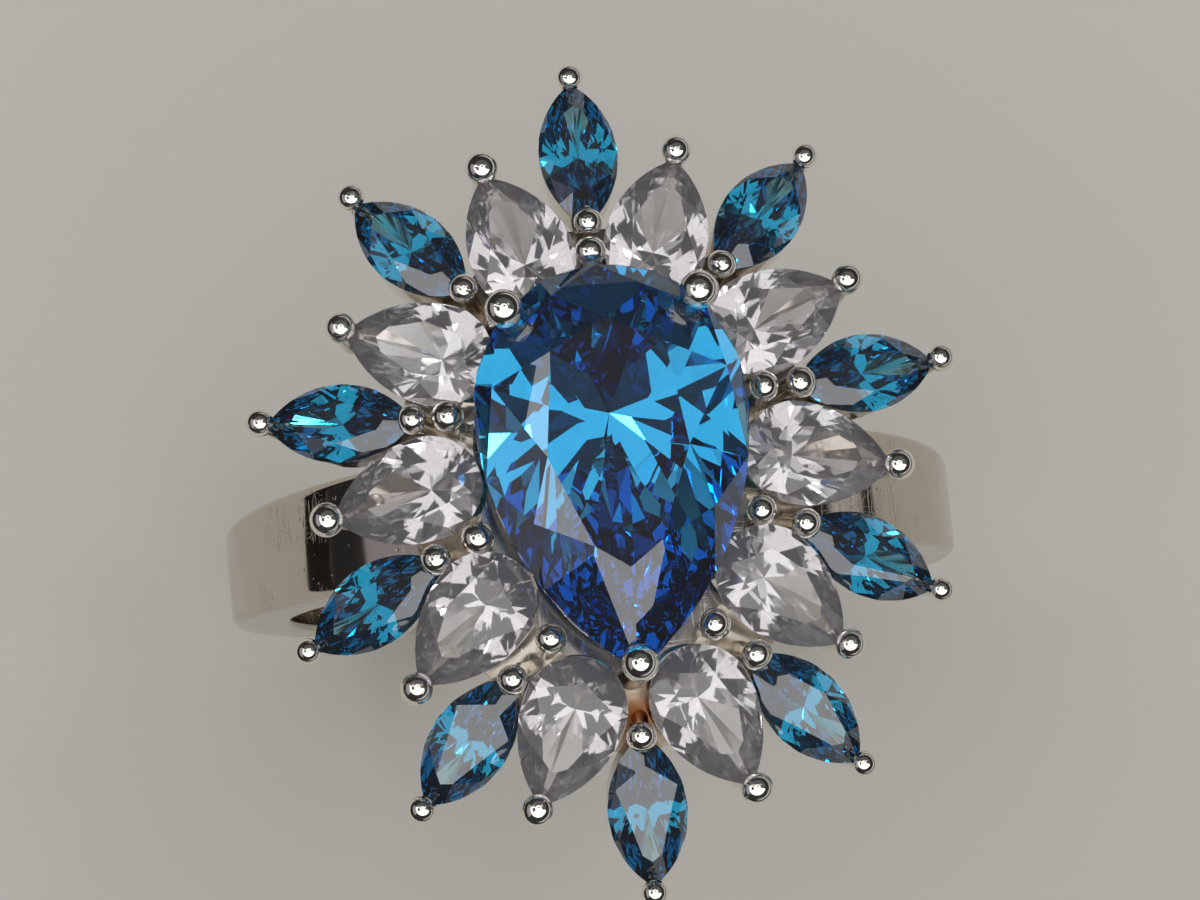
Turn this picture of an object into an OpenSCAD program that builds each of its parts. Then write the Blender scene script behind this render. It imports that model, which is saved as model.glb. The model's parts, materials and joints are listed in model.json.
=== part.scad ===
// Cluster cocktail ring: a pear-cut centre stone in a raised basket, inside a halo of ten
// clear pear-cut stones and ten marquise-cut stones, on a tapered flat band.
// Millimetres. Origin at the centre of the finger hole, +Y along the finger, +Z through the
// head. The point of the centre stone faces -Y.

/* [Band] */
// Inside diameter of the finger hole (US size 7)
finger_d = 17.3; // [16.9:0.1:17.7]
// Thickness of the band at the sides
band_t = 1.65; // [1.5:0.05:1.8]
// Width of the band under the head
band_top_w = 3.4; // [3:0.1:3.8]
// Width of the band at the back of the finger
band_back_w = 1.9; // [1.7:0.1:2.6]

/* [Stones] */
// Length of the pear-cut centre stone
centre_l = 10.4; // [10.2:0.1:10.5]
// Width of the pear-cut centre stone
centre_w = 6.95; // [6.85:0.05:7.05]
// Distance from the finger hole's centre to the centre stone's widest line, along Y
centre_y = 1.6; // [1.5:0.05:1.65]
// Length of each small pear-cut stone
pear_l = 4; // [3.8:0.1:4.1]
// Width of each small pear-cut stone
pear_w = 2.7; // [2.5:0.05:2.75]
// Length of each marquise-cut stone
marquise_l = 4; // [3.8:0.1:4.1]
// Width of each marquise-cut stone
marquise_w = 2.05; // [1.9:0.05:2.1]

/* [Cut] */
// Height of a crown over half the width of its stone
crown_ratio = 0.3; // [0.26:0.01:0.34]
// Depth of a pavilion over half the width of its stone
pavilion_ratio = 0.86; // [0.8:0.01:0.9]
// Thickness of a girdle over half the width of its stone
girdle_ratio = 0.06; // [0.05:0.01:0.07]

/* [Halo] */
// Half width of the egg-shaped line on which the halo stones are spaced
egg_w = 4.95; // [4.9:0.05:5.05]
// Half length of that line
egg_h = 6.5; // [6.45:0.05:6.6]
// How much fuller the line is towards the round end of the centre stone
egg_fat = 0.12; // [0.1:0.01:0.13]
// From the line to the outer tip of most small pear stones, seen from above
pear_reach = 2.3; // [2.2:0.05:2.4]
// How much further in the pear stones beside the narrow half of the centre stone sit
flank_tuck = 0.3; // [0.2:0.05:0.35]
// Downward slope of the small pear stones (degrees)
pear_slope = 14; // [13:1:15]
// Downward slope of the marquise stones (degrees)
marquise_slope = 18; // [17:1:19]
// Downward slope of the marquise stone above the round end of the centre stone (degrees)
top_marquise_slope = 10; // [8:1:18]

/* [Heights above the finger axis] */
// Upper edge of the centre stone's girdle
centre_z = 14.8; // [14.7:0.05:15]
// Upper edge of the halo stones' girdles where they cross the egg-shaped line
halo_z = 13; // [12.95:0.05:13.05]

/* [Claws] */
// Radius of the three beads on the centre stone
centre_bead = 0.5; // [0.45:0.01:0.52]
// Radius of the beads that two small pear stones share
shared_bead = 0.4; // [0.36:0.01:0.42]
// Radius of the bead at the tip of each small pear stone
pear_bead = 0.42; // [0.36:0.01:0.44]
// Radius of the bead at the outer tip of each marquise stone
marquise_bead = 0.35; // [0.3:0.01:0.38]
// Radius of the bead at the inner tip of each marquise stone
inner_bead = 0.39; // [0.36:0.01:0.4]

/* [Hidden] */
PETALS = 20;
PAIRS = PETALS / 2;
// Gaps between small pear stones, counted as petals clockwise from the round end, where
// the claws of the centre stone and the shared claws stand
centre_gaps = [2, 10, 18];
shared_gaps = [0, 4, 6, 8, 12, 14, 16];
function numbered(name, i) = str(name, i < 10 ? "_0" : "_", i);
function series(name, count = PAIRS) = [for (i = [1 : count]) numbered(name, i)];

$fn = 64;
OUTLINE_STEPS = 10;
SAME_PLACE = 0.001;
EGG_STEP = 6;

// Directions in which the petals point, clockwise from the round end of the centre stone
// down its right side: even petals are marquise stones, odd petals are pear stones
marquise_fan = [90, 48, 7, -29, -49, -90];
pear_fan = [71, 22, -11, -45, -64];

// Height of a pear's round end over half its width
dome_ratio = 1.06;

// Facets: azimuths of the pear's main facets on its round end and its shoulder, how far in
// a main facet runs for its height, how far up or down the small facets reach (further up
// beside a point), and how far through the girdle the crown and the pavilion each run so
// that they overlap
round_mains = [90, 38, -11];
run_ratio = 1.5;
shoulder_turn = 0.6;
star_level = 0.5;
point_level = 0.9;
half_level = 0.74;
skirt_level = 0.75;

// Band: how far its outside is set towards the head, which thins the back
band_shift = 0.15;

// Gallery: insets from the egg-shaped line, and heights
plate_rim_in = -0.35;
plate_crest_in = 1.45;
plate_hole_in = 2.1;
plate_z = 11.3;
plate_rim_z = 11.65;
plate_crest_z = 12.15;
collar_in = 1.75;
collar_wall = 0.6;
collar_z = 9.85;
window_z = 10.75;
window_r = 0.42;
azure_scale = 0.5;
azure_depth = 3;

// Rail under the centre stone, as scales of the stone's outline
rail_outer = 0.94;
rail_inner = 0.875;
rail_z = 13.75;
rail_h = 0.45;

// Collets of the halo stones, as scales of a stone's outline, and their height
collet_outer = 0.93;
collet_inner = 0.74;
collet_h = 1.35;
seat_ratio = 0.32;
keel_w = 0.4;
keel_h = 0.28;

// Claw wires, and how far the claws stand outside the centre stone
centre_wire = 0.36;
shared_wire = 0.26;
pear_wire = 0.26;
marquise_wire = 0.22;
shared_gap = 0.6;
centre_gap = 0.08;
point_in = 0.15;
tip_out = 0.05;

// How much further out the marquise stone above the round end sits
top_out = 0.12;

SILVER = [0.80, 0.79, 0.76];
LONDON_BLUE = [0.05, 0.25, 0.52];
TEAL_BLUE = [0.04, 0.42, 0.60];
CLEAR = [0.86, 0.87, 0.90];

function direction(a) = [cos(a), sin(a)];
function raised(f, z) = [f.x, f.y, z];
function wrapped(az) = az < -180 ? az + 360 : az;

// ------------------------------------------------------------ outlines of the stones
// a is half the width and p the distance from the widest line, y = 0, to the point at
// y = -p. The other end is round on a pear, and a second point on a marquise.

// The p of a stone that is w wide and l long
function point_reach(w, l, pear) = pear ? l - dome_ratio * w / 2 : l / 2;

// Radius of the long arcs
function flank(a, p) = (p * p + a * a) / (2 * a);

// Azimuth of the outline's normal at its point
function tip_azimuth(a, p) = acos((flank(a, p) - a) / flank(a, p));

// Angle on the circle that a pear's round end is stretched from, where it faces az
function dome_angle(az) = atan2(dome_ratio * sin(az), cos(az));

// Where the outline faces the azimuth az, from -180 to 180
function foot(a, p, pear, az) =
    let (r = flank(a, p))
    pear && az >= 0 ? a * [cos(dome_angle(az)), dome_ratio * sin(dome_angle(az))]
    : abs(az) <= 90 ? [r * cos(az) - (r - a), r * sin(az)]
    : [r * cos(az) + (r - a), r * sin(az)];

// The outline as a polygon, clockwise from its far end
function outline(a, p, pear, steps = OUTLINE_STEPS) =
    let (
        tip = tip_azimuth(a, p),
        start = pear ? 90 : tip,
        right = concat(
            [for (i = [0 : steps - 1]) foot(a, p, pear, start * (1 - i / steps))],
            [for (i = [0 : steps]) foot(a, p, pear, -tip * i / steps)]))
    concat(right, [for (i = [2 * steps - 1 : -1 : 1]) [-right[i].x, right[i].y]]);

// ------------------------------------------------------------ facets of the stones

// Azimuths of the main facets, clockwise and falling. A point of the outline has two.
function mains(a, p, pear) =
    let (
        tip = tip_azimuth(a, p),
        turn = shoulder_turn * tip,
        right = concat(pear ? round_mains : [tip, turn, 0], [-turn, -tip]))
    concat(right, [for (i = [len(right) - 1 : -1 : pear ? 1 : 0]) -180 - right[i]]);

// A crown facet that touches the girdle at f, faces az, and climbs rise over run
function crown_facet(f, az, run, rise) =
    let (n = [rise * cos(az), rise * sin(az), run]) [n, n * raised(f, 0)];

// A pavilion facet that touches the girdle at f, faces az, and runs down to the culet
function pavilion_facet(f, az, girdle, fall) =
    let (n = [fall * cos(az), fall * sin(az), -direction(az) * f])
    [n, n * raised(f, -girdle)];

// The point at height z that two facets share
function meet(f, g, z) =
    let (p = f[0], q = g[0], u = f[1] - p.z * z, v = g[1] - q.z * z)
    raised([u * q.y - v * p.y, p.x * v - q.x * u] / (p.x * q.y - p.y * q.x), z);

// Whether each main facet shares its foot with the next, at a point of the outline
function twins(f) =
    [for (i = [0 : len(f) - 1]) norm(f[i] - f[(i + 1) % len(f)]) < SAME_PLACE];

function plane_normal(a, b, c) = cross(b - a, c - a);
function extended(from, dir, z) = from + dir * (z - from.z) / dir.z;

// Corners on the edge of the girdle at edge_z, and past it at mid_z, where the small half
// facets run on so that the stone's smooth outline cuts them. shared holds the corner
// above or below the edge that each main facet shares with the next.
function skirt(a, p, pear, az, shared, edge_z, mid_z) =
    let (
        n = len(az),
        g = [for (t = az) raised(foot(a, p, pear, wrapped(t)), edge_z)],
        twin = twins(g),
        half = [for (i = [0 : n - 1]) (az[i] + az[(i + 1) % n] - (i == n - 1 ? 360 : 0)) / 2],
        mid = [for (t = half) raised(foot(a, p, pear, wrapped(t)), edge_z)],
        ahead = [for (i = [0 : n - 1]) twin[i] ? (i + 1) % n : i],
        behind = [for (i = [0 : n - 1])
            let (b = (i + n - 1) % n) twin[b] ? (i + n - 2) % n : b],
        ridge = [for (i = [0 : n - 1])
            cross(plane_normal(shared[behind[i]], mid[behind[i]], g[i]),
                plane_normal(shared[ahead[i]], g[i], mid[ahead[i]]))])
    concat(
        g,
        [for (i = [0 : n - 1]) extended(g[i], ridge[i], mid_z)],
        [for (i = [0 : n - 1]) if (!twin[i]) extended(mid[i], mid[i] - shared[i], mid_z)]);

// Corners of the crown, from the table to well below the upper edge of the girdle
function crown_points(a, p, pear) =
    let (
        az = mains(a, p, pear),
        n = len(az),
        rise = crown_ratio * a,
        run = run_ratio * rise,
        tip = tip_azimuth(a, p),
        shoulder = -shoulder_turn * tip,
        table_corner = foot(a, p, pear, shoulder) - run * direction(shoulder),
        tip_run = direction(-tip) * ([0, -p] - table_corner),
        f = [for (t = az) foot(a, p, pear, wrapped(t))],
        twin = twins(f),
        pointed = [for (i = [0 : n - 1]) twin[i] || twin[(i + n - 1) % n]],
        facets = [for (i = [0 : n - 1])
            crown_facet(f[i], az[i], pointed[i] ? tip_run : run, rise)],
        star = [for (i = [0 : n - 1])
            twin[i] ? raised(f[i], 0)
            : meet(facets[i], facets[(i + 1) % n],
                rise * (pointed[i] || pointed[(i + 1) % n] ? point_level : star_level))])
    concat(
        [for (i = [0 : n - 1])
            raised(pointed[i] ? [0, sign(f[i].y) * (p - tip_run / sin(tip))]
                : f[i] - run * direction(az[i]), rise)],
        [for (i = [0 : n - 1]) if (!twin[i]) star[i]],
        skirt(a, p, pear, az, star, 0, -skirt_level * girdle_ratio * a));

// Corners of the pavilion, from the culet to well above the lower edge of the girdle
function pavilion_points(a, p, pear) =
    let (
        az = mains(a, p, pear),
        n = len(az),
        fall = pavilion_ratio * a,
        girdle = girdle_ratio * a,
        culet = [0, 0, -girdle - fall],
        half_z = -girdle - half_level * fall,
        f = [for (t = az) foot(a, p, pear, wrapped(t))],
        twin = twins(f),
        facets = [for (i = [0 : n - 1]) pavilion_facet(f[i], az[i], girdle, fall)],
        lower = [for (i = [0 : n - 1])
            twin[i] ? culet : meet(facets[i], facets[(i + 1) % n], half_z)])
    concat([culet], [for (i = [0 : n - 1]) if (!twin[i]) lower[i]],
        skirt(a, p, pear, az, lower, -girdle, (skirt_level - 1) * girdle));

module hull_of(points) {
    hull()
        polyhedron(points = points, faces = [[for (i = [0 : len(points) - 1]) i]]);
}

// Trims its children to a stone's outline
module inside_outline(w, l, pear) {
    p = point_reach(w, l, pear);
    intersection() {
        translate([0, 0, -w]) linear_extrude(height = 2 * w) polygon(outline(w / 2, p, pear));
        children();
    }
}

// A brilliant-cut stone: upper edge of the girdle at z = 0, widest line along X, point at -Y
module brilliant(w, l, pear) {
    a = w / 2;
    p = point_reach(w, l, pear);
    inside_outline(w, l, pear)
        union() {
            hull_of(crown_points(a, p, pear));
            hull_of(pavilion_points(a, p, pear));
        }
}

// The space a stone fills, as one hull, which is cut out of the claws that hold it
module stone_room(w, l, pear) {
    a = w / 2;
    p = point_reach(w, l, pear);
    inside_outline(w, l, pear)
        hull_of(concat(crown_points(a, p, pear), pavilion_points(a, p, pear)));
}

// ------------------------------------------------------------ places around the halo

// A point of the egg-shaped line, set inwards by inset
function egg(t, inset = 0) =
    [(egg_w - inset) * cos(t) * (1 + egg_fat * sin(t)), (egg_h - inset) * sin(t)];
function egg_outline(inset) = [for (t = [0 : EGG_STEP : 359]) egg(t, inset)];

// Distance walked along the egg-shaped line against the angle reached, clockwise
egg_walk = [for (i = 0, s = 0; i <= 360; s = s + norm(egg(89 - i) - egg(90 - i)), i = i + 1)
    [s, 90 - i]];
egg_length = egg_walk[360][0];

// Foot of each petal: the petals are spaced equally along the line
function root(k) = egg(lookup(k * egg_length / PETALS, egg_walk));

function fan(k) =
    k > PAIRS ? 180 - fan(PETALS - k)
    : k % 2 == 0 ? marquise_fan[k / 2] : pear_fan[(k - 1) / 2];

// The point that lies gap outside the centre stone's outline, beside the foot of petal k
function beside_centre(k, gap) =
    let (
        a = centre_w / 2,
        r = flank(a, point_reach(centre_w, centre_l, true)),
        from = root(k) - [0, centre_y],
        arc_centre = from.y >= 0 ? [0, 0] : [-sign(from.x) * (r - a), 0],
        spoke = (from - arc_centre) / norm(from - arc_centre),
        reach = from.y >= 0 ? 1 / norm([spoke.x / a, spoke.y / (dome_ratio * a)]) : r)
    [0, centre_y] + arc_centre + (reach + gap) * spoke;

function on_centre(k) = len(search(k, centre_gaps)) > 0;

// Where the claw in the gap k between two small pear stones stands
function claw_place(k) =
    k == PAIRS ? [0, centre_y - point_reach(centre_w, centre_l, true) + point_in]
    : beside_centre(k, on_centre(k) ? centre_gap : shared_gap);

// Puts its children at the outer tip of petal k: their -Y points outwards and downwards
module at_tip(k, reach, slope) {
    tip = root(k) + reach * direction(fan(k));
    translate([tip.x, tip.y, halo_z - reach * tan(slope)])
        rotate([0, 0, fan(k) + 90])
            rotate([slope, 0, 0])
                children();
}

module at_pear(k) {
    tucked = k == 7 || k == PETALS - 7;
    at_tip(k, pear_reach - (tucked ? flank_tuck : 0), pear_slope)
        translate([0, point_reach(pear_w, pear_l, true), 0]) children();
}

module at_marquise(k) {
    slope = k == 0 ? top_marquise_slope : marquise_slope;
    reach = (marquise_l + tip_out) * cos(slope) + (k == 0 ? top_out : 0);
    at_tip(k, reach, slope)
        translate([0, marquise_l / 2, 0]) children();
}

module pear_room(k) {
    at_pear((k + PETALS) % PETALS) stone_room(pear_w, pear_l, true);
}

// ------------------------------------------------------------ band and gallery

// Flat band: a tube, cut to a taper that is widest under the head
module shank() {
    outer_r = finger_d / 2 + band_t;
    z_low = band_shift - outer_r - 1;
    z_high = band_shift + outer_r + 1;
    color(SILVER)
        difference() {
            intersection() {
                translate([0, 0, band_shift])
                    rotate([90, 0, 0]) cylinder(r = outer_r, h = 2 * band_top_w, center = true);
                rotate([90, 0, 90])
                    linear_extrude(height = 3 * outer_r, center = true)
                        polygon([
                            [-band_back_w / 2, z_low], [band_back_w / 2, z_low],
                            [band_top_w / 2, z_high], [-band_top_w / 2, z_high]]);
            }
            rotate([90, 0, 0]) cylinder(d = finger_d, h = 3 * band_top_w, center = true);
        }
}

module egg_slab(inset, z, h) {
    translate([0, 0, z]) linear_extrude(height = h) polygon(egg_outline(inset));
}

// Egg-shaped collar that stands on the band, with a round window under each pear stone
module under_gallery() {
    color(SILVER)
        difference() {
            egg_slab(collar_in, collar_z, plate_z - collar_z);
            egg_slab(collar_in + collar_wall, collar_z - 1, plate_z);
            translate([0, 0, band_shift])
                rotate([90, 0, 0])
                    cylinder(r = finger_d / 2 + band_t, h = 2 * egg_h, center = true);
            for (k = [1 : 2 : PETALS - 1])
                translate(raised(egg(90 - k * 360 / PETALS, collar_in), window_z))
                    rotate([90, 0, 180 - k * 360 / PETALS])
                        cylinder(r = window_r, h = 3 * collar_wall, center = true);
        }
}

// The gallery plate before it is pierced: flat below, sloping outwards above
module plate_blank() {
    hull() {
        egg_slab(plate_rim_in, plate_z, plate_rim_z - plate_z);
        egg_slab(plate_crest_in, plate_z, plate_crest_z - plate_z);
    }
}

// Plate that carries all the settings, open in the middle and pierced behind each pear
module gallery_plate() {
    color(SILVER)
        difference() {
            plate_blank();
            egg_slab(plate_hole_in, plate_z - 1, 2 + plate_crest_z - plate_z);
            for (k = [1 : 2 : PETALS - 1])
                at_pear(k)
                    translate([0, 0, -azure_depth])
                        linear_extrude(height = azure_depth)
                            polygon(outline(azure_scale * pear_w / 2,
                                azure_scale * point_reach(pear_w, pear_l, true), true));
        }
}

// ------------------------------------------------------------ centre setting

// An upright wire in the gap k, from inside the plate to the height top_z
module gap_wire(k, r, top_z) {
    translate(raised(claw_place(k), plate_z)) cylinder(r = r, h = top_z - plate_z);
}

module centre_room() {
    translate([0, centre_y, centre_z]) stone_room(centre_w, centre_l, true);
}

// Rail that the centre stone rests on, between its three claws
module centre_rail() {
    a = centre_w / 2;
    p = point_reach(centre_w, centre_l, true);
    color(SILVER)
        difference() {
            translate([0, centre_y, rail_z])
                linear_extrude(height = rail_h)
                    difference() {
                        polygon(outline(rail_outer * a, rail_outer * p, true));
                        polygon(outline(rail_inner * a, rail_inner * p, true));
                    }
            for (k = centre_gaps) gap_wire(k, centre_wire, centre_z);
        }
}

module centre_claw(k) {
    bead_z = centre_z + centre_bead;
    color(SILVER)
        difference() {
            union() {
                gap_wire(k, centre_wire, bead_z);
                translate(raised(claw_place(k), bead_z)) sphere(r = centre_bead);
            }
            centre_room();
            pear_room(k - 1);
            pear_room(k + 1);
            plate_blank();
        }
}

// Claw that two small pear stones share beside the centre stone
module shared_claw(k) {
    inset = norm(root(k) - claw_place(k));
    bead_z = halo_z + inset * tan(pear_slope) + shared_bead;
    color(SILVER)
        difference() {
            union() {
                gap_wire(k, shared_wire, bead_z);
                translate(raised(claw_place(k), bead_z)) sphere(r = shared_bead);
            }
            pear_room(k - 1);
            pear_room(k + 1);
            plate_blank();
        }
}

// ------------------------------------------------------------ halo settings

// Open collet under a halo stone, in the stone's own place
module collet(w, l, pear) {
    a = w / 2;
    p = point_reach(w, l, pear);
    translate([0, 0, -collet_h])
        linear_extrude(height = collet_h - seat_ratio * a)
            difference() {
                polygon(outline(collet_outer * a, collet_outer * p, pear));
                polygon(outline(collet_inner * a, collet_inner * p, pear));
            }
}

// Claw wire with a bead on top, beside a halo stone
module collet_claw(y, wire, bead) {
    translate([0, y, -collet_h]) cylinder(r = wire, h = collet_h + bead);
    translate([0, y, bead]) sphere(r = bead);
}

module pear_setting(i) {
    k = 2 * i - 1;
    point_y = -point_reach(pear_w, pear_l, true);
    color(SILVER)
        difference() {
            at_pear(k) {
                collet(pear_w, pear_l, true);
                collet_claw(point_y - tip_out, pear_wire, pear_bead);
            }
            pear_room(k);
            plate_blank();
            for (gap = [k - 1, (k + 1) % PETALS])
                gap_wire(gap, on_centre(gap) ? centre_wire : shared_wire, centre_z);
        }
}

module marquise_setting(i) {
    k = 2 * i - 2;
    color(SILVER)
        difference() {
            at_marquise(k) {
                collet(marquise_w, marquise_l, false);
                collet_claw(-marquise_l / 2 - tip_out, marquise_wire, marquise_bead);
                collet_claw(marquise_l / 2 + tip_out, marquise_wire, inner_bead);
                translate([-keel_w / 2, -marquise_l / 2, -collet_h])
                    cube([keel_w, marquise_l, keel_h]);
            }
            at_marquise(k) stone_room(marquise_w, marquise_l, false);
            pear_room(k - 1);
            pear_room(k + 1);
            plate_blank();
        }
}

// ------------------------------------------------------------ stones

module centre_stone() {
    color(LONDON_BLUE)
        translate([0, centre_y, centre_z]) brilliant(centre_w, centre_l, true);
}

module pear_stone(i) {
    color(CLEAR) at_pear(2 * i - 1) brilliant(pear_w, pear_l, true);
}

module marquise_stone(i) {
    color(TEAL_BLUE) at_marquise(2 * i - 2) brilliant(marquise_w, marquise_l, false);
}

shank();
under_gallery();
gallery_plate();
centre_rail();
centre_stone();
centre_claw(centre_gaps[0]);  // centre_claw_right
centre_claw(centre_gaps[1]);  // centre_claw_point
centre_claw(centre_gaps[2]);  // centre_claw_left
for (i = [1 : len(shared_gaps)])
    shared_claw(shared_gaps[i - 1]);
for (i = [1 : PAIRS]) {
    pear_setting(i);
    pear_stone(i);
    marquise_setting(i);
    marquise_stone(i);
}
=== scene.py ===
import json
import math
import random

import bmesh
import bpy
from mathutils import Matrix, Vector

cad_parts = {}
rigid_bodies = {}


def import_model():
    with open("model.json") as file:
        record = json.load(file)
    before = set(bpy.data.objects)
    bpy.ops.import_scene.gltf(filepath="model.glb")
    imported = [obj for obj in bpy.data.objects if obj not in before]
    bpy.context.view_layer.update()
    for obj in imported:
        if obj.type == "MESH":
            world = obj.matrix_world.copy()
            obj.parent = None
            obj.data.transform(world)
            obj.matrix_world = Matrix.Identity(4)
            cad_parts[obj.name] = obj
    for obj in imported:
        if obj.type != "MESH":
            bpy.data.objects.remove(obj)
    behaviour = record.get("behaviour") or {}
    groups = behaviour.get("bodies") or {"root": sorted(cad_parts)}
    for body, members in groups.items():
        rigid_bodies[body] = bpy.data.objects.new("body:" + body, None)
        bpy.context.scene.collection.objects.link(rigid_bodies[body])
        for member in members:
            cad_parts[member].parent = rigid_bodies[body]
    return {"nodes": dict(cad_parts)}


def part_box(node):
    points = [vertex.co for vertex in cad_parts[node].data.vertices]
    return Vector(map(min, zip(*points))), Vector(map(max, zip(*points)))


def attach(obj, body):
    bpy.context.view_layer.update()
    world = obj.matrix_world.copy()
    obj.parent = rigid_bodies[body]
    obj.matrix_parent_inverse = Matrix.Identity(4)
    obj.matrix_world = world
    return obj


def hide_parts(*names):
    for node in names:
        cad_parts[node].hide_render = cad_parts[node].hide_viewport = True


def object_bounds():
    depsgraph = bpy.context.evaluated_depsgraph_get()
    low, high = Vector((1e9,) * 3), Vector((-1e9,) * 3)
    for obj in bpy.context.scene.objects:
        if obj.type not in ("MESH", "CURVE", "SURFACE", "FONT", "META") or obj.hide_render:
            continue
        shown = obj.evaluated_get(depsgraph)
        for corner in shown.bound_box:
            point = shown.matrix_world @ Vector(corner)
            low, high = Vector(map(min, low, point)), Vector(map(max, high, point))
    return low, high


for leftover in list(bpy.data.objects):
    bpy.data.objects.remove(leftover)

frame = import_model()
CAD_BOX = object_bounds()
MM = 0.001
TAU = 2 * math.pi
MERGE = 0.0005           # corners of CAD nodes nearer than this are one corner
chance = random.Random(11)


# ---------------------------------------------------------------- mesh helpers
# Everything is made in millimetres, in a piece's own place, and then moved and scaled.

def make_object(name, verts, faces, place=Matrix.Identity(4)):
    mesh = bpy.data.meshes.new(name)
    mesh.from_pydata([tuple(v) for v in verts], [], faces)
    mesh.transform(Matrix.Scale(MM, 4) @ place)
    mesh.update()
    obj = bpy.data.objects.new(name, mesh)
    bpy.context.scene.collection.objects.link(obj)
    return obj


def outward(obj):
    """Makes the faces of a closed mesh look outwards."""
    bm = bmesh.new()
    bm.from_mesh(obj.data)
    bmesh.ops.recalc_face_normals(bm, faces=bm.faces)
    bm.to_mesh(obj.data)
    bm.free()
    return obj


def lathe(name, profile, place, steps=40):
    """A closed solid of revolution about Z. The profile runs from the axis to the axis."""
    verts = [(0, 0, profile[0][1])]
    for r, z in profile[1:-1]:
        verts += [(r * math.cos(TAU * i / steps), r * math.sin(TAU * i / steps), z)
                  for i in range(steps)]
    verts.append((0, 0, profile[-1][1]))
    rows, last = len(profile) - 2, len(verts) - 1
    faces = [(0, 1 + (i + 1) % steps, 1 + i) for i in range(steps)]
    for row in range(rows - 1):
        a, b = 1 + row * steps, 1 + (row + 1) * steps
        faces += [(a + i, a + (i + 1) % steps, b + (i + 1) % steps, b + i)
                  for i in range(steps)]
    a = 1 + (rows - 1) * steps
    faces += [(a + i, a + (i + 1) % steps, last) for i in range(steps)]
    return outward(make_object(name, verts, faces, place))


def loop_sweep(name, sections, place=Matrix.Identity(4)):
    """A closed ring made of closed sections with equal numbers of corners."""
    n, m = len(sections), len(sections[0])
    verts = [v for section in sections for v in section]
    faces = [(i * m + j, i * m + (j + 1) % m, (i + 1) % n * m + (j + 1) % m, (i + 1) % n * m + j)
             for i in range(n) for j in range(m)]
    return outward(make_object(name, verts, faces, place))


def rounded_section(lo_u, hi_u, lo_v, hi_v, radii, steps=4):
    """Corners of a rectangle rounded by radii: low-low, high-low, high-high, low-high."""
    corners = [(lo_u, lo_v, 1, 1, 180), (hi_u, lo_v, -1, 1, 270),
               (hi_u, hi_v, -1, -1, 0), (lo_u, hi_v, 1, -1, 90)]
    points = []
    for (u, v, su, sv, start), r in zip(corners, radii):
        for i in range(steps + 1):
            t = math.radians(start + 90 * i / steps)
            points.append((u + su * r + r * math.cos(t), v + sv * r + r * math.sin(t)))
    return points


def apply_modifiers(obj):
    graph = bpy.context.evaluated_depsgraph_get()
    graph.update()
    mesh = bpy.data.meshes.new_from_object(obj.evaluated_get(graph))
    old = obj.data
    obj.modifiers.clear()
    obj.data = mesh
    mesh.name = obj.name
    bpy.data.meshes.remove(old)


def combine(obj, others, operation):
    """Boolean of obj with each of the others."""
    for other in others:
        mod = obj.modifiers.new("cut", "BOOLEAN")
        mod.operation = operation
        mod.solver = "MANIFOLD"
        mod.object = other
    apply_modifiers(obj)
    return obj


def drop(objs):
    for o in objs:
        mesh = o.data
        bpy.data.objects.remove(o)
        bpy.data.meshes.remove(mesh)


def smooth(obj, degrees=32):
    obj.data.polygons.foreach_set("use_smooth", [True] * len(obj.data.polygons))
    obj.data.set_sharp_from_angle(angle=math.radians(degrees))
    return obj


# ---------------------------------------------------------------- places of the stones

def hull_of(node, name, grow=1.0):
    """The room that a CAD solid needs: its hull, grown about its middle."""
    bm = bmesh.new()
    for v in frame["nodes"][node].data.vertices:
        bm.verts.new(v.co / MM)
    bmesh.ops.remove_doubles(bm, verts=bm.verts, dist=0.001)
    result = bmesh.ops.convex_hull(bm, input=bm.verts)
    inside = {v for v in result["geom_interior"] + result["geom_unused"]
              if isinstance(v, bmesh.types.BMVert)}
    bmesh.ops.delete(bm, geom=list(inside), context="VERTS")
    centre = sum((v.co for v in bm.verts), Vector()) / len(bm.verts)
    for v in bm.verts:
        v.co = (centre + (v.co - centre) * grow) * MM
    bmesh.ops.recalc_face_normals(bm, faces=bm.faces)
    mesh = bpy.data.meshes.new(name)
    bm.to_mesh(mesh)
    bm.free()
    obj = bpy.data.objects.new(name, mesh)
    bpy.context.scene.collection.objects.link(obj)
    return obj


CROWN_RATIO = 0.3
DOME_RATIO = 1.06        # height of a pear's round end over half its width


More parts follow.
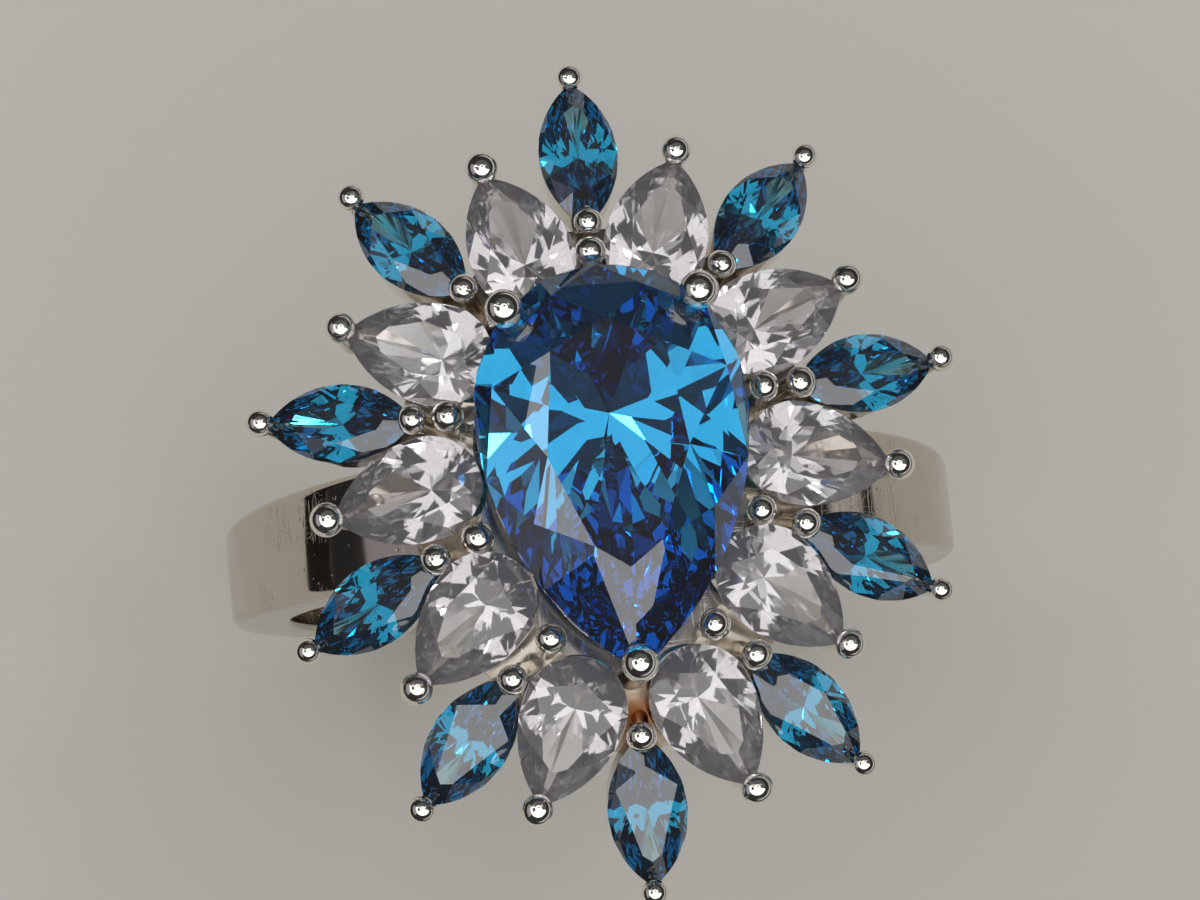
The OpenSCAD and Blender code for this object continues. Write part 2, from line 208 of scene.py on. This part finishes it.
class Seat:
    """The place and size of a stone, in millimetres: upper edge of the girdle at z = 0,
    widest line along X, and the outer tip, or the point, towards -Y."""

    def __init__(self, node, pear, point=None):
        mesh = frame["nodes"][node].data
        areas = {}
        for p in mesh.polygons:
            if p.normal.z > 0.85:
                key = tuple(round(c, 3) for c in p.normal)
                areas.setdefault(key, [0, Vector()])
                areas[key][0] += p.area
                areas[key][1] += p.normal * p.area
        up = max(areas.values(), key=lambda a: a[0])[1].normalized()
        verts = [v.co / MM for v in mesh.vertices]
        top = max(v.dot(up) for v in verts)
        flat = [v - up * v.dot(up) for v in verts]
        centre = sum(flat, Vector()) / len(flat)
        far = max(flat, key=lambda v: (v - centre).length)
        other = max(flat, key=lambda v: (v - far).length)
        outer, inner = sorted((far, other), key=lambda v: -v.xy.length)
        if point:
            outer, inner = sorted((far, other), key=lambda v: v.y)
        back = (inner - outer).normalized()
        side = back.cross(up)
        across = [v.dot(side) for v in flat]
        self.half = (max(across) - min(across)) / 2
        self.length = (inner - outer).length
        self.reach = self.length - DOME_RATIO * self.half if pear else self.length / 2
        along = outer.dot(back) + self.reach
        origin = (side * (max(across) + min(across)) / 2 + back * along
                  + up * (top - CROWN_RATIO * self.half))
        self.place = Matrix((
            (side.x, back.x, up.x, origin.x), (side.y, back.y, up.y, origin.y),
            (side.z, back.z, up.z, origin.z), (0, 0, 0, 1)))
        self.pear = pear

    def outline(self, scale=1.0, steps=14):
        """Its outline as points in its own place, anticlockwise from the right."""
        a, p = self.half, self.reach
        r = (p * p + a * a) / (2 * a)
        tip = math.acos((r - a) / r)
        right = [(r * math.cos(t) - (r - a), r * math.sin(t))
                 for t in [-tip + tip * i / steps for i in range(steps + 1)]]
        if self.pear:
            right += [(a * math.cos(t), DOME_RATIO * a * math.sin(t))
                      for t in [math.pi / 2 * i / steps for i in range(1, steps + 1)]]
        else:
            right += [(x, -y) for x, y in reversed(right[:-1])]
        left = [(-x, y) for x, y in reversed(right[1:-1])]
        return [(x * scale, y * scale) for x, y in right + left]


PAIRS = 10
ROOM_GROWTH = 1.004      # leaves a hair of air between a stone and its metal
pear_names = [f"pear_stone_{i:02d}" for i in range(1, PAIRS + 1)]
marquise_names = [f"marquise_stone_{i:02d}" for i in range(1, PAIRS + 1)]
rooms = {n: hull_of(n, "room_" + n, ROOM_GROWTH)
         for n in ["centre_stone"] + pear_names + marquise_names}
centre_seat = Seat("centre_stone", True, point=True)

# ---------------------------------------------------------------- materials


class Nodes:
    """Short calls for building a node tree."""

    def __init__(self, tree):
        self.tree = tree
        tree.nodes.clear()

    def add(self, kind, **settings):
        node = self.tree.nodes.new(kind)
        for key, value in settings.items():
            setattr(node, key, value)
        return node

    def link(self, a, b):
        self.tree.links.new(a, b)

    def noise(self, vector, scale, detail=2.0, rough=0.5, distortion=0.0):
        n = self.add("ShaderNodeTexNoise")
        n.inputs["Scale"].default_value = scale
        n.inputs["Detail"].default_value = detail
        n.inputs["Roughness"].default_value = rough
        n.inputs["Distortion"].default_value = distortion
        self.link(vector, n.inputs["Vector"])
        return n.outputs["Fac"]

    def ramp(self, value, stops):
        n = self.add("ShaderNodeValToRGB")
        elements = n.color_ramp.elements
        while len(elements) < len(stops):
            elements.new(0.5)
        for e, (at, c) in zip(elements, stops):
            e.position = at
            e.color = (c, c, c, 1) if isinstance(c, (int, float)) else (*c, 1)
        self.link(value, n.inputs["Fac"])
        return n.outputs["Color"]

    def math(self, operation, *values):
        n = self.add("ShaderNodeMath", operation=operation)
        for socket, value in zip(n.inputs, values):
            if isinstance(value, (int, float)):
                socket.default_value = value
            else:
                self.link(value, socket)
        return n.outputs["Value"]

    def mix(self, factor, a, b):
        n = self.add("ShaderNodeMix", data_type="RGBA")
        for socket, value in zip((n.inputs["Factor"], n.inputs[6], n.inputs[7]), (factor, a, b)):
            if isinstance(value, tuple):
                socket.default_value = (*value, 1)
            elif isinstance(value, (int, float)):
                socket.default_value = value
            else:
                self.link(value, socket)
        return n.outputs[2]

    def mapped(self, vector, scale, turn=(0, 0, 0)):
        n = self.add("ShaderNodeMapping")
        n.inputs["Scale"].default_value = scale
        n.inputs["Rotation"].default_value = [math.radians(t) for t in turn]
        self.link(vector, n.inputs["Vector"])
        return n.outputs["Vector"]


def scratch_lines(n, here, turn, stretch, scale, level):
    """Thin short scratches that lie across one direction."""
    lines = n.noise(n.mapped(here, stretch, turn), scale, detail=1.0, distortion=0.15)
    centred = n.math("ABSOLUTE", n.math("SUBTRACT", lines, 0.5))
    return n.ramp(centred, [(0.0, 1.0), (level, 0.0)])


# The plate between the two lowest pear stones, where a brown stain is
STAIN = centre_seat.place @ Vector((0, -centre_seat.reach - 1.0, -2.6)) * MM
STAIN_REACH = 3 * MM
RUST = (0.40, 0.14, 0.03)
# Brown of the patina in the hollows, also used as painted shade in the creases
PATINA_AND_SHADE_BROWN = (0.30, 0.19, 0.09)
WORN_METAL = (0.42, 0.39, 0.35)


def silver(name, wear, scratch, patina_and_shade_amount=0.5, light=(0.89, 0.86, 0.80)):
    """Polished silver plate: slow waves from hand polishing, pits, fine scratches, and
    brown patina where the surface can't be reached, darkened further as painted shade in
    every crease. Light is the bare metal's colour."""
    mat = bpy.data.materials.new(name)
    mat.use_nodes = True
    n = Nodes(mat.node_tree)
    out = n.add("ShaderNodeOutputMaterial")
    bsdf = n.add("ShaderNodeBsdfPrincipled")
    n.link(bsdf.outputs[0], out.inputs["Surface"])
    here = n.add("ShaderNodeTexCoord").outputs["Object"]

    waves = n.noise(here, 380, detail=1.5)
    grain = n.noise(here, 9000, detail=3.0)
    spots = n.noise(here, 3400, detail=1.0)
    where = n.noise(here, 300, detail=2.0)
    pits = n.math("MULTIPLY", n.ramp(spots, [(0.24, 1.0), (0.29, 0.0)]),
                  n.ramp(where, [(0.45, 0.15), (0.6, 1.0)]))
    scuffs = scratch_lines(n, here, (20, 10, 35), (1.0, 0.06, 1.0), 5200, 0.012)
    more = scratch_lines(n, here, (-30, 25, -60), (0.05, 1.0, 1.0), 4200, 0.010)
    lines = n.math("MULTIPLY", n.math("MAXIMUM", scuffs, more),
                   n.ramp(n.noise(here, 700, detail=1.0), [(0.5, 0.0), (0.62, 1.0)]))

    # Brown patina in the creases plus painted shade: the metal is darkened wherever ambient
    # occlusion finds a crease within 1 mm
    ao = n.add("ShaderNodeAmbientOcclusion", samples=6)
    ao.inputs["Distance"].default_value = 1.0 * MM
    creases = n.ramp(ao.outputs["AO"], [(0.1, 1.0), (0.6, 0.0)])
    patina_and_shade = n.math("MULTIPLY", creases, n.ramp(where, [(0.3, 0.35), (0.65, 1.0)]))
    spot = n.add("ShaderNodeVectorMath", operation="DISTANCE")
    n.link(here, spot.inputs[0])
    spot.inputs[1].default_value = STAIN
    away = n.math("DIVIDE", spot.outputs["Value"], STAIN_REACH)
    stain = n.ramp(away, [(0.2, 1.0), (0.55, 0.0)])
    patina_and_shade = n.math("MULTIPLY", patina_and_shade, n.math("ADD", patina_and_shade_amount, n.math("MULTIPLY", stain, 0.6)))
    metal = n.mix(n.ramp(grain, [(0.3, 0.0), (0.7, 1.0)]), tuple(0.94 * c for c in light), light)
    worn = n.mix(n.math("MULTIPLY", n.math("MAXIMUM", pits, lines), 0.35 * scratch),
                 metal, WORN_METAL)
    # Mixes in the brown patina and the painted shade of the creases
    with_patina_and_shade = n.mix(patina_and_shade, worn, PATINA_AND_SHADE_BROWN)
    rust = n.ramp(away, [(0.12, 0.9), (0.26, 0.0)])
    colour = n.mix(rust, with_patina_and_shade, RUST)
    n.link(colour, bsdf.inputs["Base Color"])
    bsdf.inputs["Metallic"].default_value = 1.0
    rough = n.math("ADD", n.math("MULTIPLY", n.ramp(where, [(0.35, 0.0), (0.7, 1.0)]), 0.05 * wear),
                   0.02 + 0.02 * wear)
    rough = n.math("ADD", rough, n.math("MULTIPLY", patina_and_shade, 0.4))
    rough = n.math("ADD", rough, n.math("MULTIPLY", lines, 0.15 * scratch))
    n.link(rough, bsdf.inputs["Roughness"])

    relief = n.math("ADD", n.math("MULTIPLY", waves, 1.0),
                    n.math("MULTIPLY", grain, 0.012 * wear))
    relief = n.math("SUBTRACT", relief, n.math("MULTIPLY", pits, 0.5 * scratch))
    relief = n.math("SUBTRACT", relief, n.math("MULTIPLY", lines, 0.12 * scratch))
    bump = n.add("ShaderNodeBump")
    bump.inputs["Strength"].default_value = 0.5
    bump.inputs["Distance"].default_value = 0.05 * MM
    n.link(relief, bump.inputs["Height"])
    n.link(bump.outputs[0], bsdf.inputs["Normal"])
    return mat


DUST = (0.93, 0.92, 0.95)


def gem(name, ior, absorb, density, film, haze=0.0):
    """A cut stone. Its colour deepens with the way that light goes through it, and a film of
    dust and wear scatters a little of the light."""
    mat = bpy.data.materials.new(name)
    mat.use_nodes = True
    n = Nodes(mat.node_tree)
    out = n.add("ShaderNodeOutputMaterial")
    bsdf = n.add("ShaderNodeBsdfPrincipled")
    n.link(bsdf.outputs[0], out.inputs["Surface"])
    bsdf.inputs["Base Color"].default_value = (*DUST, 1)
    bsdf.inputs["Transmission Weight"].default_value = 1 - film
    bsdf.inputs["IOR"].default_value = ior
    here = n.add("ShaderNodeTexCoord").outputs["Object"]
    lines = scratch_lines(n, here, (15, 5, 50), (1.0, 0.05, 1.0), 3600, 0.008)
    rubbed = n.ramp(n.noise(here, 900, detail=3.0), [(0.5, 0.0), (0.75, 1.0)])
    rough = n.math("ADD", n.math("MULTIPLY", lines, 0.02), n.math("MULTIPLY", rubbed, 0.008))
    n.link(n.math("ADD", rough, haze), bsdf.inputs["Roughness"])
    volume = n.add("ShaderNodeVolumeAbsorption")
    volume.inputs["Color"].default_value = (*absorb, 1)
    volume.inputs["Density"].default_value = density
    n.link(volume.outputs[0], out.inputs["Volume"])
    return mat


SILVER = silver("polished_silver", wear=0.8, scratch=0.35)
# Rougher silver with more patina for the rail and the gallery; its darker colour is painted shade
# for these parts deep under the stones
DULL_SHADED_SILVER = silver("dull_shaded_silver", wear=2.0, scratch=0.35, patina_and_shade_amount=0.9,
                     light=(0.53, 0.51, 0.47))
BAND_SILVER = silver("band_silver", wear=1.2, scratch=1.0, patina_and_shade_amount=0.35,
                     light=(0.61, 0.555, 0.485))
LONDON = gem("london_blue_gem", 2.15, (0.06, 0.74, 0.902), 430, film=0.008)
TEAL = gem("teal_blue_gem", 2.15, (0.02, 0.69, 0.80), 1850, film=0.008)
CLEAR = gem("clear_gem", 1.78, (0.64, 0.625, 0.645), 430, film=0.045, haze=0.05)


def finish_metal(obj, node, material=SILVER, degrees=32):
    smooth(obj, degrees)
    obj.data.materials.clear()
    obj.data.materials.append(material)
    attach(obj, "root")
    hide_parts(node)


# ---------------------------------------------------------------- band

BAND_SHIFT = 0.15
lo, hi = (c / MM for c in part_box("shank"))
BAND_OUTER = hi.z - BAND_SHIFT
FINGER_R = 8.65
BACK_W, TOP_W = 1.9, 3.4
INNER_EDGE, OUTER_EDGE = 0.16, 0.3
ROOMY = 2                # half width of the section before it is narrowed


def build_shank():
    span = BAND_OUTER + 1

    def half_width(z):
        return BACK_W / 2 + (TOP_W - BACK_W) / 2 * (z - BAND_SHIFT + span) / (2 * span)

    sections = []
    steps = 288
    for i in range(steps):
        t = TAU * i / steps
        sine = math.sin(t)
        outer = BAND_SHIFT * sine + math.sqrt(BAND_OUTER ** 2 - (BAND_SHIFT * math.cos(t)) ** 2)
        points = rounded_section(FINGER_R, outer, -ROOMY, ROOMY,
                                 (INNER_EDGE, OUTER_EDGE, OUTER_EDGE, INNER_EDGE), steps=6)
        section = []
        for r, y in points:
            excess = ROOMY - half_width(r * sine)
            section.append((r * math.cos(t), y - math.copysign(excess, y), r * sine))
        sections.append(section)
    finish_metal(loop_sweep("band", sections), "shank", BAND_SILVER, degrees=40)


build_shank()

# ---------------------------------------------------------------- claws


def pin_profile(wire, bead, bottom, squash=0.9):
    """A wire that ends in a slightly flattened bead, from the axis round to the axis. The
    bead's underside is at z = 0."""
    profile = [(0, bottom), (wire * 0.7, bottom), (wire * 0.93, bottom + 0.03),
               (wire, bottom + 0.09)]
    centre = bead
    half_h = bead * squash
    start = math.asin(min(0.98, wire * 1.12 / bead))
    neck_z = centre - half_h * math.cos(start)
    profile += [(wire, neck_z - 0.16), (wire * 1.02, neck_z - 0.07), (wire * 1.06, neck_z - 0.02)]
    for i in range(15):
        t = start + (math.pi - start) * i / 14
        profile.append((bead * math.sin(t), centre - half_h * math.cos(t)))
    profile[-1] = (0, centre + half_h)
    return profile


def uneven_pin(name, wire, bead, bottom, place):
    """A pin with a hand-made bead: a little larger or smaller, and slightly leaning."""
    grown = bead * chance.uniform(0.96, 1.05)
    lean = Matrix.Rotation(math.radians(chance.uniform(-4, 4)), 4, "X") @ \
        Matrix.Rotation(math.radians(chance.uniform(-4, 4)), 4, "Y")
    squash = chance.uniform(0.86, 0.97)
    stretch = Matrix.Diagonal((chance.uniform(0.97, 1.03), chance.uniform(0.97, 1.03), 1, 1))
    return lathe(name, pin_profile(wire, grown, bottom, squash), place @ lean @ stretch)


def long_wire(radius, at):
    """A plain wire through the whole head, to cut the room of a claw."""
    return lathe("wire", [(0, -WIRE_SPAN), (radius, -WIRE_SPAN), (radius, WIRE_SPAN),
                          (0, WIRE_SPAN)], Matrix.Translation(at))


plate_room = hull_of("gallery_plate", "plate_room")


def rooms_near(node, reach=0.3):
    """The rooms of the stones whose boxes come near the CAD node's box."""
    a_lo, a_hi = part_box(node)
    near = []
    for name, room in rooms.items():
        b_lo, b_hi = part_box(name)
        if all(a_lo[i] - reach * MM < b_hi[i] and b_lo[i] - reach * MM < a_hi[i]
               for i in range(3)):
            near.append(room)
    return near


CENTRE_BEAD, CENTRE_WIRE = 0.5, 0.36
SHARED_BEAD, SHARED_WIRE = 0.4, 0.26
PEAR_BEAD, MARQUISE_BEAD, INNER_BEAD = 0.42, 0.35, 0.39
PEAR_WIRE, MARQUISE_WIRE = 0.26, 0.22
PIN_FOOT = 11.3          # height of the claws' feet, at the plate's underside
WIRE_SPAN = 3

upright = {}
for node in ["centre_claw_right", "centre_claw_point", "centre_claw_left"] + \
        [f"shared_claw_{i:02d}" for i in range(1, 8)]:
    lo, hi = (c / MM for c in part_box(node))
    central = node.startswith("centre")
    bead, wire = (CENTRE_BEAD, CENTRE_WIRE) if central else (SHARED_BEAD, SHARED_WIRE)
    # The bead is the widest part, so its middle is the node's, seen from above.
    axis = Vector(((lo.x + hi.x) / 2, (lo.y + hi.y) / 2, hi.z - 2 * bead))
    pin = uneven_pin("claw_" + node, wire, bead, PIN_FOOT - axis.z, Matrix.Translation(axis))
    combine(pin, rooms_near(node) + [plate_room], "DIFFERENCE")
    finish_metal(pin, node)
    upright[node] = axis

# ---------------------------------------------------------------- rail

RAIL_OUTER, RAIL_INNER = 0.94, 0.875    # shares of the centre stone's outline
RAIL_EDGE = 0.07


def ring_wall(name, seat, scales, z_range, edge):
    """A wall along a stone's outline, with softened edges."""
    outer, inner = seat.outline(scales[0]), seat.outline(scales[1])
    sections = []
    for (ox, oy), (ix, iy) in zip(outer, inner):
        width = math.hypot(ox - ix, oy - iy)
        section = rounded_section(0, width, z_range[0], z_range[1], (edge,) * 4, steps=3)
        sections.append([(ix + (ox - ix) * u / width, iy + (oy - iy) * u / width, z)
                         for u, z in section])
    return loop_sweep(name, sections, seat.place)


def build_rail():
    lo, hi = (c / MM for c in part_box("centre_rail"))
    level = centre_seat.place.translation.z
    rail = ring_wall("rail", centre_seat, (RAIL_OUTER, RAIL_INNER),
                     (lo.z - level, hi.z - level), RAIL_EDGE)
    wires = [long_wire(CENTRE_WIRE, at) for name, at in upright.items()
             if name.startswith("centre")]
    combine(rail, wires, "DIFFERENCE")
    drop(wires)
    # The rail gets the darker silver, whose colour is painted shade
    finish_metal(rail, "centre_rail", DULL_SHADED_SILVER)


build_rail()

# ---------------------------------------------------------------- halo settings

COLLET_OUTER, COLLET_INNER, COLLET_H = 0.93, 0.74, 1.35
SEAT_RATIO = 0.32
KEEL_W, KEEL_H = 0.4, 0.28
TIP_OUT = 0.05           # how far a claw stands beyond the stone's tip
CLAW_REACH = 4           # upright claws nearer than this may touch a pear's setting
WALL_EDGE, BAR_EDGE = 0.06, 0.07


def keel(name, seat):
    half = seat.length / 2
    sections = []
    for y in (-half, half):
        sections.append([(x, y, z) for x, z in rounded_section(
            -KEEL_W / 2, KEEL_W / 2, -COLLET_H, KEEL_H - COLLET_H, (BAR_EDGE,) * 4, steps=3)])
    m = len(sections[0])
    faces = [(j, (j + 1) % m, m + (j + 1) % m, m + j) for j in range(m)]
    faces += [tuple(range(m)), tuple(range(m, 2 * m))]
    return outward(make_object(name, sections[0] + sections[1], faces, seat.place))


def build_setting(i, pear):
    kind = "pear" if pear else "marquise"
    stone, node = f"{kind}_stone_{i:02d}", f"{kind}_setting_{i:02d}"
    seat = Seat(stone, pear)
    obj = ring_wall(f"{kind}_collet_{i:02d}", seat, (COLLET_OUTER, COLLET_INNER),
                    (-COLLET_H, -SEAT_RATIO * seat.half), WALL_EDGE)
    extras = []
    if pear:
        extras.append(uneven_pin("pin", PEAR_WIRE, PEAR_BEAD, -COLLET_H,
                                 seat.place @ Matrix.Translation((0, -seat.reach - TIP_OUT, 0))))
    else:
        for bead, y in ((MARQUISE_BEAD, -seat.reach - TIP_OUT), (INNER_BEAD, seat.reach + TIP_OUT)):
            extras.append(uneven_pin("pin", MARQUISE_WIRE, bead, -COLLET_H,
                                     seat.place @ Matrix.Translation((0, y, 0))))
        extras.append(keel("keel", seat))
    combine(obj, extras, "UNION")
    drop(extras)
    cuts = rooms_near(node) + [plate_room]
    wires = [long_wire(CENTRE_WIRE if name.startswith("centre") else SHARED_WIRE, at)
             for name, at in upright.items()
             if pear and (at.xy - seat.place.translation.xy).length < CLAW_REACH]
    combine(obj, cuts + wires, "DIFFERENCE")
    drop(wires)
    finish_metal(obj, node)


for i in range(1, PAIRS + 1):
    build_setting(i, True)
    build_setting(i, False)

drop(list(rooms.values()) + [plate_room])

# ---------------------------------------------------------------- gallery and stones


def set_material(node, material):
    obj = frame["nodes"][node]
    for slot in obj.material_slots:
        slot.material = material


def soften(node, width, degrees):
    """Rounds the edges of a CAD node without changing its mesh."""
    obj = frame["nodes"][node]
    weld = obj.modifiers.new("weld", "WELD")
    weld.merge_threshold = MERGE * MM
    bevel = obj.modifiers.new("soften", "BEVEL")
    bevel.width = width * MM
    bevel.segments = 2
    bevel.limit_method = "ANGLE"
    bevel.angle_limit = math.radians(degrees)
    bevel.harden_normals = False


# The gallery gets the darker silver, whose colour is painted shade
for node in ("gallery_plate", "under_gallery"):
    set_material(node, DULL_SHADED_SILVER)
    soften(node, 0.05, 30)

set_material("centre_stone", LONDON)
soften("centre_stone", 0.015, 4)
for node in pear_names:
    set_material(node, CLEAR)
for node in marquise_names:
    set_material(node, TEAL)

# ---------------------------------------------------------------- floor, light, camera

FLOOR_Z = CAD_BOX[0].z
FLOOR_HALF = 1.2


def floor_material():
    mat = bpy.data.materials.new("pale_floor")
    mat.use_nodes = True
    n = Nodes(mat.node_tree)
    out = n.add("ShaderNodeOutputMaterial")
    bsdf = n.add("ShaderNodeBsdfPrincipled")
    n.link(bsdf.outputs[0], out.inputs["Surface"])
    here = n.add("ShaderNodeTexCoord").outputs["Object"]
    n.link(n.mix(n.noise(here, 40, detail=4.0), (0.338, 0.329, 0.310), (0.352, 0.342, 0.323)),
           bsdf.inputs["Base Color"])
    bsdf.inputs["Roughness"].default_value = 0.75
    return mat


floor = bpy.data.meshes.new("floor")
floor.from_pydata([(x * FLOOR_HALF, y * FLOOR_HALF, 0)
                   for x, y in ((-1, -1), (1, -1), (1, 1), (-1, 1))], [], [(0, 1, 2, 3)])
floor.materials.append(floor_material())
floor = bpy.data.objects.new("floor", floor)
floor.location.z = FLOOR_Z
bpy.context.scene.collection.objects.link(floor)


def card(name, centre, size_x, size_y, target, strength, colour=(1, 1, 1)):
    """A soft light, square, that looks at the target."""
    light = bpy.data.lights.new(name, "AREA")
    light.shape = "RECTANGLE"
    light.size, light.size_y = size_x, size_y
    light.energy = strength
    light.color = colour
    obj = bpy.data.objects.new(name, light)
    obj.location = centre
    obj.rotation_euler = (Vector(target) - Vector(centre)).to_track_quat("-Z", "Y").to_euler()
    obj.visible_camera = False
    bpy.context.scene.collection.objects.link(obj)


HEAD = (0, 0, 0.013)
# The photograph's own view, from above and a little towards the point of the stone
TILT_X, TILT_Y, ROLL = math.radians(8.56), math.radians(-3.77), math.radians(-6.11)
back = Vector((math.sin(TILT_Y), -math.sin(TILT_X) * math.cos(TILT_Y),
               math.cos(TILT_X) * math.cos(TILT_Y)))

card("sparkle_right", (0.10, 0.07, 0.24), 0.03, 0.03, HEAD, 0.07, (1.0, 0.98, 0.95))
card("sparkle_left", (-0.11, 0.10, 0.22), 0.025, 0.025, HEAD, 0.04, (0.97, 0.98, 1.0))


def flag(name, shape, glow, glossy=True, transmission=True):
    """A dim card that only reflections, or only rays that leave a stone, can see."""
    verts, faces = shape
    mesh = bpy.data.meshes.new(name)
    mesh.from_pydata(verts, [], faces)
    mat = bpy.data.materials.new(name)
    mat.use_nodes = True
    n = Nodes(mat.node_tree)
    emission = n.add("ShaderNodeEmission")
    emission.inputs["Color"].default_value = (*glow, 1)
    n.link(emission.outputs[0], n.add("ShaderNodeOutputMaterial").inputs["Surface"])
    mesh.materials.append(mat)
    obj = bpy.data.objects.new(name, mesh)
    obj.visible_camera = False
    obj.visible_shadow = False
    obj.visible_diffuse = False
    obj.visible_glossy = glossy
    obj.visible_transmission = transmission
    bpy.context.scene.collection.objects.link(obj)


def facing_card(centre, size_x, size_y):
    """A rectangle that looks at the head."""
    turn = (Vector(HEAD) - Vector(centre)).to_track_quat("Z", "Y")
    return [Vector(centre) + turn @ Vector((x * size_x / 2, y * size_y / 2, 0))
            for x, y in ((-1, -1), (1, -1), (1, 1), (-1, 1))], [(0, 1, 2, 3)]


def sector(x, inner, outer, z, start, end, steps=48):
    """A level piece of an annulus about an upright axis at x, from start to end degrees."""
    turns = [math.radians(start + (end - start) * i / steps) for i in range(steps + 1)]
    verts = [(x + r * math.cos(t), r * math.sin(t), z) for r in (inner, outer) for t in turns]
    m = steps + 1
    return verts, [(i, i + 1, i + 1 + m, i + m) for i in range(steps)]


DIM, GREY, HAZE = (0.06, 0.06, 0.07), (0.10, 0.10, 0.10), (0.32, 0.31, 0.34)
ABOVE_Z, LOW_Z = 0.17, 0.10

# Seen only by light that leaves a stone: what stands in front, the table and the camera
flag("flag_front", facing_card((-0.02, -0.08, 0.043), 0.24, 0.10), (0.08, 0.08, 0.09), glossy=False)
flag("flag_under", sector(0, 0.022, 0.2, FLOOR_Z + 0.001, 150, 330), DIM, glossy=False)
flag("flag_cap", sector(0, 0, 0.05, ABOVE_Z, 0, 360), DIM, glossy=False)

# Seen only in reflections: a patch for the flat top of the centre stone and one for the
# left marquise, the dark side of the ceiling, the walls, a pale one on the left, and the
# far part of the floor
flag("flag_table", facing_card((0.020, 0.046, 0.312), 0.055, 0.055), (0.10, 0.095, 0.105),
     transmission=False)
flag("flag_beside", facing_card((-0.0345, 0.0122, 0.05), 0.008, 0.009), (0.08, 0.08, 0.09),
     transmission=False)
flag("flag_above", sector(0, 0.058, 0.26, ABOVE_Z, -15, 150), GREY, transmission=False)
flag("flag_behind", sector(0, 0.058, 0.122, ABOVE_Z, 160.5, 205), GREY, transmission=False)
flag("flag_low", sector(0, 0.110, 0.41, LOW_Z, -148, 150), (0.03, 0.03, 0.03), transmission=False)
flag("flag_left", sector(0, 0.110, 0.41, LOW_Z, 150, 212), HAZE, transmission=False)
flag("flag_floor", sector(0.03, 0.113, 1.1, FLOOR_Z + 0.0005, 0, 360), (0.014, 0.013, 0.012),
     transmission=False)

world = bpy.data.worlds.new("studio")
bpy.context.scene.world = world
world.use_nodes = True
n = Nodes(world.node_tree)
background = n.add("ShaderNodeBackground")
n.link(background.outputs[0], n.add("ShaderNodeOutputWorld").inputs["Surface"])
aim = n.add("ShaderNodeSeparateXYZ")
n.link(n.add("ShaderNodeTexCoord").outputs["Generated"], aim.inputs[0])
CEILING = (1.0, 0.985, 0.95)
side = n.ramp(n.math("MULTIPLY_ADD", aim.outputs["X"], 0.5, 0.5), [(0.42, 0.015), (0.66, 0.30)])
low = n.ramp(aim.outputs["Z"], [(0.18, 1.0), (0.32, 0.15)])
wall = n.math("MULTIPLY", side, low)
# The bright ceiling comes down lower on the side of -X and -Y
sideways = n.math("ADD", aim.outputs["X"], aim.outputs["Y"])
level = n.math("SUBTRACT", aim.outputs["Z"], n.math("MULTIPLY", sideways, 0.15))
room = n.mix(n.ramp(level, [(0.42, 0.0), (0.58, 1.0)]), wall, CEILING)
n.link(room, background.inputs["Color"])
background.inputs["Strength"].default_value = 1.6

CAMERA_DISTANCE = 110.55
camera = bpy.data.cameras.new("camera")
camera.sensor_width = 36
camera.lens = 129.6
camera.clip_start, camera.clip_end = 0.005, 10
eye = bpy.data.objects.new("camera", camera)
right = Vector((0, 1, 0)).cross(back).normalized()
up = back.cross(right)
right, up = (right * math.cos(ROLL) + up * math.sin(ROLL),
             up * math.cos(ROLL) - right * math.sin(ROLL))
target = Vector((-0.276, 0.81, 13.0)) * MM
place = target + back * CAMERA_DISTANCE * MM
eye.matrix_world = Matrix((
    (right.x, up.x, back.x, place.x), (right.y, up.y, back.y, place.y),
    (right.z, up.z, back.z, place.z), (0, 0, 0, 1)))
bpy.context.scene.collection.objects.link(eye)
bpy.context.scene.camera = eye

scene = bpy.context.scene
scene.view_settings.view_transform = "Standard"
scene.cycles.max_bounces = 16
scene.cycles.glossy_bounces = 12
scene.cycles.transmission_bounces = 16
